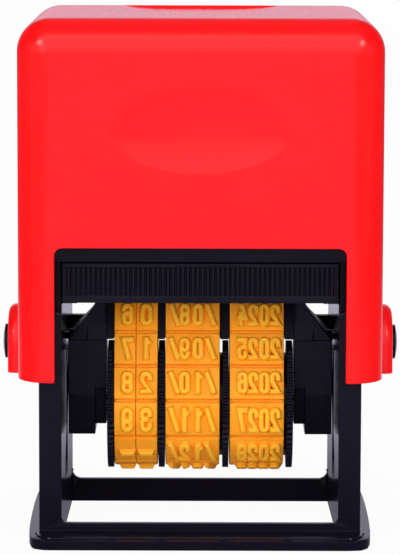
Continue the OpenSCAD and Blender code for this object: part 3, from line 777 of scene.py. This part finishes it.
def bands(looks):
    """The four bands; a row's number counts from the nose down the front."""
    months = [7, 8, 9, 10, 11, 12, 1, 2, 3, 4, 5, 6, 0]
    band("band_day_units", list("56789-- 01234"), [-10.15], 1.6, looks, (0, DAYS_SWELL))
    band("band_day_tens", list("-0123-- 0123-"), [-7.52], 1.65, looks, (DAYS_SWELL, 0))
    texts = [f"/{m:02d}/" if m else " -- " for m in months]
    band("band_month", texts, [1.43, -0.32, -2.17, -3.6], 1.45, looks)
    band("band_year", [str(2023 + i) for i in range(ROWS)], [10.48, 8.95, 7.42, 5.89], 1.42, looks)


# Springs

def coil_rise(t):
    """Height after a share t of the wire, from 0 to 1: the end turns lie nearly flat."""
    end = 1 / SPRING_TURNS
    if t < end:
        return t * END_PITCH
    if t > 1 - end:
        return 1 - (1 - t) * END_PITCH
    return END_PITCH * end + (t - end) * (1 - 2 * END_PITCH * end) / (1 - 2 * end)


def return_spring(side, look):
    """A round-wire coil as long as the CAD spring."""
    node = "return_spring_right" if side > 0 else "return_spring_left"
    low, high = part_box(node)
    r = (SPRING_D - WIRE_D) / 2
    start, length = low.z / MM + WIRE_D / 2, (high.z - low.z) / MM - WIRE_D
    rings, sides = SPRING_TURNS * WIRE_STEPS, WIRE_SIDES
    verts = []
    for i in range(rings + 1):
        t = i / rings
        z = start + length * coil_rise(t)
        a = 2 * math.pi * SPRING_TURNS * t
        for k in range(sides):
            b = 2 * math.pi * k / sides
            d = r + WIRE_D / 2 * math.cos(b)
            x, y = side * (SPRING_X + d * math.cos(a)), d * math.sin(a)
            verts.append((x, y, z + WIRE_D / 2 * math.sin(b)))
    faces = [tuple(range(sides)), tuple(range(len(verts) - 1, len(verts) - 1 - sides, -1))]
    for i in range(rings):
        a, b = i * sides, (i + 1) * sides
        faces += [(a + k, a + (k + 1) % sides, b + (k + 1) % sides, b + k) for k in range(sides)]
    piece = solid(node + "_coil", verts, faces)
    shade(piece, 60)
    finished(piece, "frame", look, node)
    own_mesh(piece)


# Stage

def camera():
    data = bpy.data.cameras.new("camera")
    data.sensor_fit = "VERTICAL"
    data.sensor_height = SENSOR
    data.lens = SENSOR * FOCAL_PIXELS / PHOTO_H
    data.clip_end = 50
    made = bpy.data.objects.new("camera", data)
    place = Vector((CAMERA_SIDE, -CAMERA_BACK, CAMERA_UP)) * MM
    tilt = Matrix.Rotation(math.radians(90 - CAMERA_TILT), 4, "X")
    roll = Matrix.Rotation(math.radians(CAMERA_ROLL), 4, "Z")
    made.matrix_world = Matrix.Translation(place) @ tilt @ roll
    bpy.context.scene.collection.objects.link(made)
    bpy.context.scene.camera = made


def lamp(name, azimuth, elevation, distance, size, radiance, mirrored=False):
    """A softbox that faces the object; a mirrored one only shows in reflections."""
    data = bpy.data.lights.new(name, "AREA")
    data.shape = "RECTANGLE"
    data.size, data.size_y = size
    data.energy = radiance * math.pi * size[0] * size[1]
    made = bpy.data.objects.new(name, data)
    a, e = math.radians(azimuth), math.radians(elevation)
    middle = Vector(LAMP_AIM)
    away = Vector((math.sin(a) * math.cos(e), -math.cos(a) * math.cos(e), math.sin(e)))
    made.location = middle + distance * away
    made.rotation_euler = (-away).to_track_quat("-Z", "Y").to_euler()
    made.visible_glossy = mirrored
    made.visible_diffuse = not mirrored
    made.visible_camera = False
    bpy.context.scene.collection.objects.link(made)


def maths(tree, operation, a, b):
    """A maths node; a and b are numbers or other nodes' outputs."""
    node = tree.nodes.new("ShaderNodeMath")
    node.operation = operation
    for socket, value in zip(node.inputs, (a, b)):
        if isinstance(value, (int, float)):
            socket.default_value = value
        else:
            tree.links.new(value, socket)
    return node.outputs[0]


def fade(tree, value, start, end, low, high):
    """From low to high, smoothly, as the value goes from start to end."""
    node = tree.nodes.new("ShaderNodeMapRange")
    node.interpolation_type = "SMOOTHSTEP"
    for key, number in (("From Min", start), ("From Max", end), ("To Min", low), ("To Max", high)):
        node.inputs[key].default_value = number
    tree.links.new(value, node.inputs["Value"])
    return node.outputs["Result"]


def blend(tree, share, first, second):
    """The first shader, or the second where the share is 1."""
    node = tree.nodes.new("ShaderNodeMixShader")
    tree.links.new(share, node.inputs[0])
    tree.links.new(first, node.inputs[1])
    tree.links.new(second, node.inputs[2])
    return node.outputs[0]


def world():
    """White for the camera, soft for diffuse light, darker above and beside in reflections."""
    made = bpy.data.worlds.new("studio")
    made.use_nodes = True
    bpy.context.scene.world = made
    tree = made.node_tree
    path = tree.nodes.new("ShaderNodeLightPath").outputs
    soft = tree.nodes["Background"]
    soft.inputs["Color"].default_value = (1, 1, 1, 1)
    soft.inputs["Strength"].default_value = SKY
    white = tree.nodes.new("ShaderNodeBackground")
    white.inputs["Color"].default_value = (1, 1, 1, 1)
    white.inputs["Strength"].default_value = 1
    mirrored = tree.nodes.new("ShaderNodeBackground")
    mirrored.inputs["Color"].default_value = COOL
    where = tree.nodes.new("ShaderNodeTexCoord")
    split = tree.nodes.new("ShaderNodeSeparateXYZ")
    tree.links.new(where.outputs["Generated"], split.inputs[0])
    # A reflection points up along Z, aside along X and behind the object along Y
    low = fade(tree, split.outputs["Z"], 0.3, 0.55, 0.8, 0.22)
    across = maths(tree, "ABSOLUTE", split.outputs["X"], 0)
    level = maths(tree, "MULTIPLY", low, fade(tree, across, 0.45, 0.85, 1.0, 0.15))
    behind = fade(tree, split.outputs["Y"], 0.0, 0.4, 0.0, 1.0)
    dimmed = maths(tree, "MULTIPLY", behind, fade(tree, across, 0.1, 0.35, 0.0, 0.75))
    level = maths(tree, "MULTIPLY", level, maths(tree, "SUBTRACT", 1, dimmed))
    tree.links.new(level, mirrored.inputs["Strength"])
    seen = maths(tree, "MAXIMUM", path["Is Camera Ray"], path["Is Transmission Ray"])
    out = blend(tree, path["Is Glossy Ray"], soft.outputs[0], mirrored.outputs[0])
    out = blend(tree, seen, out, white.outputs[0])
    tree.links.new(out, tree.nodes["World Output"].inputs["Surface"])


def floor():
    """Pale floor that keeps the shadow; its reflection is darker beside, and darker by the object as
    a painted shadow.
    """
    made, tree, shader = material("pale_floor", 0.9, Base_Color=grey(0.85))
    path = tree.nodes.new("ShaderNodeLightPath").outputs
    seen = maths(tree, "MAXIMUM", path["Is Camera Ray"], path["Is Transmission Ray"])
    white = tree.nodes.new("ShaderNodeEmission")
    mirrored = tree.nodes.new("ShaderNodeEmission")
    mirrored.inputs["Color"].default_value = COOL
    where = tree.nodes.new("ShaderNodeTexCoord")
    split = tree.nodes.new("ShaderNodeSeparateXYZ")
    tree.links.new(where.outputs["Object"], split.inputs[0])
    across = maths(tree, "ABSOLUTE", split.outputs["X"], 0)
    along = maths(tree, "ABSOLUTE", split.outputs["Y"], 0)
    # Close to the object along Y the glow seen in reflections is dimmed: a painted shadow of the
    # object on the floor
    level = maths(
        tree, "MULTIPLY",
        fade(tree, across, 0.06, 0.2, 0.72, 0.1), fade(tree, along, 0.02, 0.12, 0.3, 1.0),
    )
    tree.links.new(level, mirrored.inputs["Strength"])
    glow = blend(tree, seen, mirrored.outputs[0], white.outputs[0])
    share = maths(tree, "MAXIMUM", maths(tree, "MULTIPLY", seen, 0.95), path["Is Glossy Ray"])
    out = blend(tree, share, shader.outputs[0], glow)
    tree.links.new(out, tree.nodes["Material Output"].inputs["Surface"])
    square = [(x * FLOOR_HALF, y * FLOOR_HALF) for x, y in ((-1, -1), (1, -1), (1, 1), (-1, 1))]
    piece = prism("floor", square, 2, -FLOOR_T, -FLOOR_DROP)
    piece.data.materials.append(made)


def stage():
    """World, floor and lamps; each lamp has its name, bearing, height, distance, size and level."""
    world()
    floor()
    lamp("front", 0, 14, 1.1, (1.7, 0.46), 1.8)
    lamp("key", -28, 14, 1.3, (0.6, 0.6), 2.6)
    lamp("above", 0, 60, 1.1, (0.9, 0.6), 1.7)
    lamp("rear", 160, 16, 1.3, (0.9, 0.6), 2.2)
    lamp("sheen", 0, 42, 1.1, (1.7, 0.8), 1.2, True)
    for side in (-1, 1):
        lamp("spot", 42 * side, 32, 1.3, (0.28, 0.28), 12, True)
        lamp("beside", 66 * side, 10, 1.3, (0.9, 0.7), 2.4)


def build():
    red = red_plastic()
    black = black_plastic("gloss_black", 0.15)
    satin = black_plastic("satin_black", 0.24)
    dull = black_plastic("dull_black", 0.42)
    amber = rubber("amber_rubber", srgb(250, 158, 34), srgb(253, 168, 46))
    # Paler rubber for the tops of the figures: a painted highlight, the same rubber lit brighter
    pale = rubber("amber_rubber_painted_highlight", srgb(255, 180, 44), srgb(255, 190, 58))
    bright = steel()
    cover(red)
    dress("frame", "frame", black, FRAME_EDGE)
    dress("ink_pad_case", "frame", dull, FINE_EDGE)
    paint("ink_pad_felt", felt())
    for side in ("left", "right"):
        dress("carrier_cheek_" + side, "carrier", satin, CHEEK_EDGE)
        paint("axle_cap_" + side, black)
        paint("flip_axle_" + side, bright)
    paint("band_anvil", dull)
    for node in ("wheel_shaft", "shaft_clips", "detent_spring"):
        paint(node, bright)
    for name in ("day_units", "day_tens", "month", "year"):
        dress("thumbwheel_" + name, "wheel_" + name, satin, FINE_EDGE)
    bands((amber, pale))
    for side in (-1, 1):
        return_spring(side, bright)


bpy.context.scene.view_settings.view_transform = "Standard"
camera()
stage()
build()
